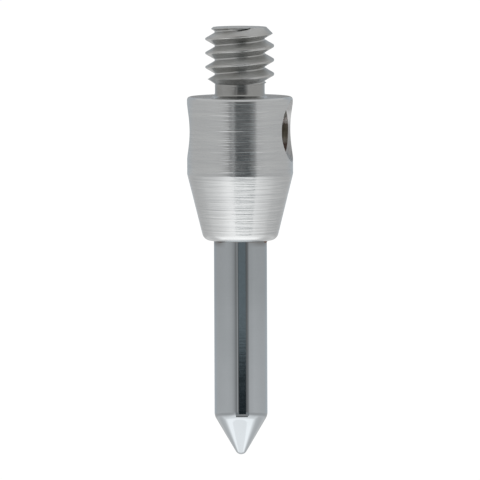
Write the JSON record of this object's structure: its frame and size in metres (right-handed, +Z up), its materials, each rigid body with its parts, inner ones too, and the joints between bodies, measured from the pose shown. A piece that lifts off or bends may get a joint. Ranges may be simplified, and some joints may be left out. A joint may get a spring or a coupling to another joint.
{
  "type": "cmm stylus",
  "caption": "Short pointer stylus for a coordinate measuring machine: turned stainless holder with a threaded stud and a cross hole, and a bonded carbide stem with a ground point.",
  "frame": {"origin": "centre of the seat face, where the stud leaves the body", "axes": "+Z up the stud, with the stem pointing down; +X along the cross hole to within 10 degrees, with that end turned towards -Y"},
  "size_m": [0.003, 0.003, 0.0122],
  "materials": {
    "stainless": "turned stainless steel, satin, with fine turning lines around it",
    "carbide": "ground and polished tungsten carbide, grey and nearly mirror bright",
    "adhesive": "set adhesive, dark reddish brown"
  },
  "bodies": {
    "root": {"holder": "stainless", "stem": "carbide", "adhesive": "adhesive"}
  },
  "joints": []
}
